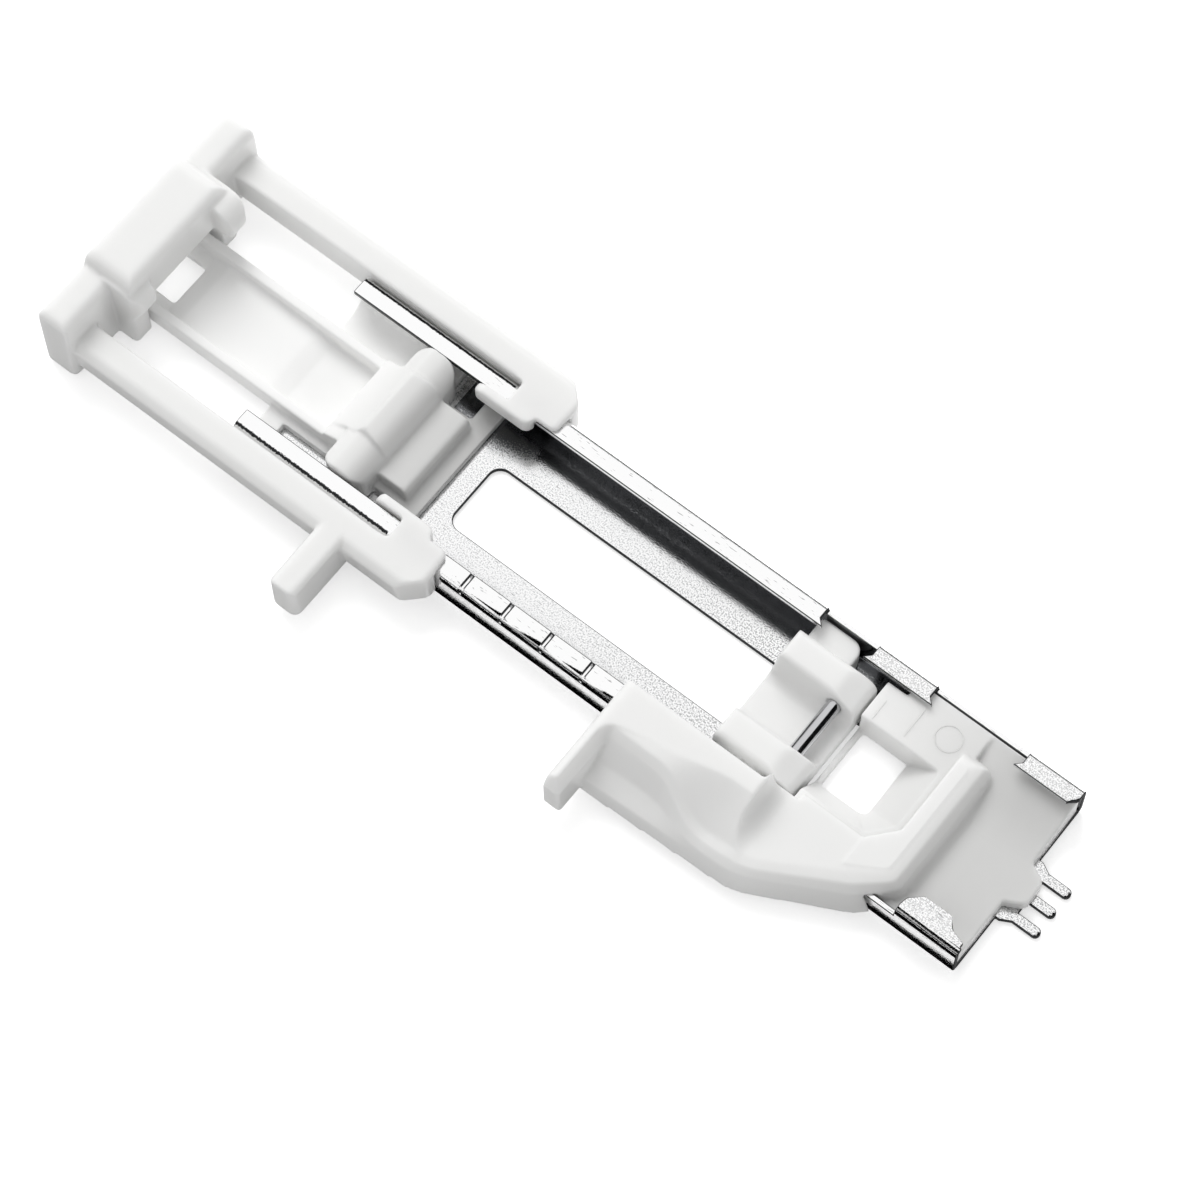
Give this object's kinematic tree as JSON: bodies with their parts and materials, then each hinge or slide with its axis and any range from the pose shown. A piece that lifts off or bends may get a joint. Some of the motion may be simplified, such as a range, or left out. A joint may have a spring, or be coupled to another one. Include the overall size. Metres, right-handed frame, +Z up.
{
  "type": "sewing machine presser foot",
  "caption": "Automatic buttonhole presser foot: steel sled with needle slot, sliding shoe with ankle pin, button guide that slides to set the buttonhole length.",
  "frame": {"origin": "middle of the ankle pin's axis, with the shoe at the front end of its travel", "axes": "+X along the sled to its front prongs, +Y to the side away from the lever hook, +Z up off the sole"},
  "size_m": [0.1152, 0.0364, 0.0116],
  "materials": {
    "sled_steel": "bright rolled stainless sheet with fine satin grain",
    "white_plate": "slightly translucent white moulding, soft satin gloss",
    "white_button_plate": "slightly translucent white moulding, soft satin gloss",
    "white_shoe": "slightly translucent white moulding, soft satin gloss",
    "pin_steel": "bright drawn steel pin",
    "white_guide": "slightly translucent white moulding, soft satin gloss"
  },
  "bodies": {
    "sled": {"metal_sled": "sled_steel", "front_plate": "white_plate", "button_plate": "white_button_plate"},
    "shoe": {"ankle_slider": "white_shoe", "ankle_pin": "pin_steel"},
    "guide": {"button_guide": "white_guide"}
  },
  "joints": [
    {"name": "shoe_slide", "type": "slide", "parent": "sled", "child": "shoe", "axis": [-1, 0, 0], "range_m": [0, 0.0373]},
    {"name": "guide_slide", "type": "slide", "parent": "sled", "child": "guide", "axis": [1, 0, 0], "range_m": [0, 0.015]}
  ]
}
